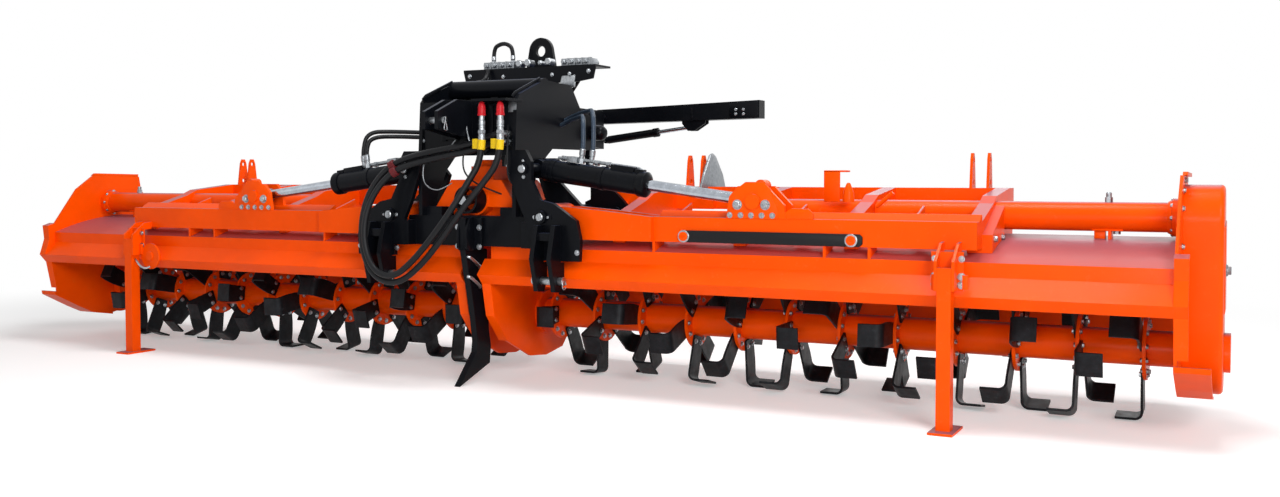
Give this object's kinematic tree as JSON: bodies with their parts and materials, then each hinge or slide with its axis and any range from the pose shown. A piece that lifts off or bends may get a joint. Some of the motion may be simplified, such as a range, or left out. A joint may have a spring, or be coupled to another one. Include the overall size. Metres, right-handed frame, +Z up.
{
  "type": "folding rotavator",
  "caption": "Folding mounted rotavator: two hinged wings with bladed rotors, hoods, drive cases and parking stands on a central black headstock with fold cylinders.",
  "frame": {"origin": "on the ground, under the middle of the machine's outline", "axes": "+X to the right seen from the front, +Y rearwards, away from the tractor, +Z up"},
  "size_m": [6.5, 1.62, 1.714],
  "materials": {
    "orange_paint": "gloss",
    "black_paint": "gloss",
    "blade_black": "matte",
    "zinc": "satin",
    "chrome_rod": "polished",
    "hose_rubber": "matte",
    "cap_red": "satin"
  },
  "bodies": {
    "headstock": {"centre_frame": "black_paint", "hitch_plates_left": "black_paint", "hitch_plates_right": "black_paint", "lower_link_pin_left": "zinc", "lower_link_pin_right": "zinc", "hinge_pins_left": "zinc", "hinge_pins_right": "zinc", "tower": "black_paint", "top_link_bracket": "black_paint", "top_link_pin": "zinc", "centre_gearbox": "orange_paint", "input_guard": "black_paint", "ripper_tine": "black_paint", "valve_tray": "black_paint", "valve_blocks": "zinc", "lifting_eye": "black_paint", "arm_pin": "zinc", "hose_unions": "zinc", "hose_a": "hose_rubber", "hose_b": "hose_rubber", "hose_couplers": "zinc", "coupler_caps": "cap_red"},
    "input": {"input_shaft": "zinc"},
    "side_arm": {"side_arm": "black_paint"},
    "arm_barrel": {"arm_barrel": "black_paint"},
    "arm_rod": {"arm_rod": "chrome_rod"},
    "wing_left": {"wing_frame_left": "orange_paint", "hood_left": "orange_paint", "end_plate_left": "orange_paint", "skid_left": "orange_paint", "inner_plate_left": "orange_paint", "drive_case_left": "orange_paint", "drive_tube_left": "orange_paint"},
    "rotor_left": {"rotor_tube_left": "orange_paint", "blades_left": "blade_black"},
    "tailboard_left": {"tailboard_left": "orange_paint"},
    "stand_left": {"stand_left": "orange_paint"},
    "barrel_left": {"cylinder_barrel_left": "black_paint"},
    "rod_left": {"cylinder_rod_left": "chrome_rod"},
    "wing_right": {"wing_frame_right": "orange_paint", "hood_right": "orange_paint", "end_plate_right": "orange_paint", "skid_right": "orange_paint", "inner_plate_right": "orange_paint", "drive_case_right": "orange_paint", "drive_tube_right": "orange_paint"},
    "rotor_right": {"rotor_tube_right": "orange_paint", "blades_right": "blade_black"},
    "tailboard_right": {"tailboard_right": "orange_paint"},
    "stand_right": {"stand_right": "orange_paint"},
    "barrel_right": {"cylinder_barrel_right": "black_paint"},
    "rod_right": {"cylinder_rod_right": "chrome_rod"}
  },
  "joints": [
    {"name": "input_turn", "type": "hinge", "parent": "headstock", "child": "input", "pos_m": [0, -0.56, 0.88], "axis": [0, 1, 0], "continuous": true},
    {"name": "side_arm_lift", "type": "hinge", "parent": "headstock", "child": "side_arm", "pos_m": [0.04, 0.76, 1.322], "axis": [0, -1, 0], "range_deg": [0, 60]},
    {"name": "arm_barrel_swing", "type": "hinge", "parent": "headstock", "child": "arm_barrel", "pos_m": [0.04, 0.77, 1.197], "axis": [0, -1, 0], "range_deg": [-1, 60]},
    {"name": "arm_rod_slide", "type": "slide", "parent": "arm_barrel", "child": "arm_rod", "axis": [0.9928, 0, 0.1195], "range_m": [-0.005, 0.115]},
    {"name": "wing_fold_left", "type": "hinge", "parent": "headstock", "child": "wing_left", "pos_m": [-0.435, -0.41, 0.805], "axis": [0, 1, 0], "range_deg": [0, 90]},
    {"name": "rotor_turn_left", "type": "hinge", "parent": "wing_left", "child": "rotor_left", "pos_m": [-1.6, 0.02, 0.3], "axis": [1, 0, 0], "continuous": true},
    {"name": "tailboard_swing_left", "type": "hinge", "parent": "wing_left", "child": "tailboard_left", "pos_m": [-1.6, 0.388, 0.585], "axis": [1, 0, 0], "range_deg": [0, 70]},
    {"name": "stand_slide_left", "type": "slide", "parent": "wing_left", "child": "stand_left", "axis": [0, 0, 1], "range_m": [0, 0.38]},
    {"name": "barrel_swing_left", "type": "hinge", "parent": "headstock", "child": "barrel_left", "pos_m": [-0.34, -0.41, 1.026], "axis": [0, 1, 0], "range_deg": [-1, 98]},
    {"name": "rod_slide_left", "type": "slide", "parent": "barrel_left", "child": "rod_left", "axis": [-0.9917, 0, -0.1287], "range_m": [-0.335, 0.01]},
    {"name": "wing_fold_right", "type": "hinge", "parent": "headstock", "child": "wing_right", "pos_m": [0.435, -0.41, 0.805], "axis": [0, -1, 0], "range_deg": [0, 90]},
    {"name": "rotor_turn_right", "type": "hinge", "parent": "wing_right", "child": "rotor_right", "pos_m": [1.6, 0.02, 0.3], "axis": [1, 0, 0], "continuous": true},
    {"name": "tailboard_swing_right", "type": "hinge", "parent": "wing_right", "child": "tailboard_right", "pos_m": [1.6, 0.388, 0.585], "axis": [1, 0, 0], "range_deg": [0, 70]},
    {"name": "stand_slide_right", "type": "slide", "parent": "wing_right", "child": "stand_right", "axis": [0, 0, 1], "range_m": [0, 0.38]},
    {"name": "barrel_swing_right", "type": "hinge", "parent": "headstock", "child": "barrel_right", "pos_m": [0.34, -0.41, 1.026], "axis": [0, -1, 0], "range_deg": [-1, 98]},
    {"name": "rod_slide_right", "type": "slide", "parent": "barrel_right", "child": "rod_right", "axis": [0.9917, 0, -0.1287], "range_m": [-0.335, 0.01]}
  ],
  "couplings": [
    {"joint": "arm_barrel_swing", "follows": "side_arm_lift", "ratio": 0.8893},
    {"joint": "arm_rod_slide", "follows": "side_arm_lift", "m_per_rad": 0.0997},
    {"joint": "barrel_swing_left", "follows": "wing_fold_left", "ratio": 1.0691},
    {"joint": "rod_slide_left", "follows": "wing_fold_left", "m_per_rad": -0.2069},
    {"joint": "barrel_swing_right", "follows": "wing_fold_right", "ratio": 1.0691},
    {"joint": "rod_slide_right", "follows": "wing_fold_right", "m_per_rad": -0.2069},
    {"joint": "input_turn", "follows": "rotor_turn_right", "ratio": 3.85},
    {"joint": "rotor_turn_left", "follows": "rotor_turn_right", "ratio": 1}
  ]
}
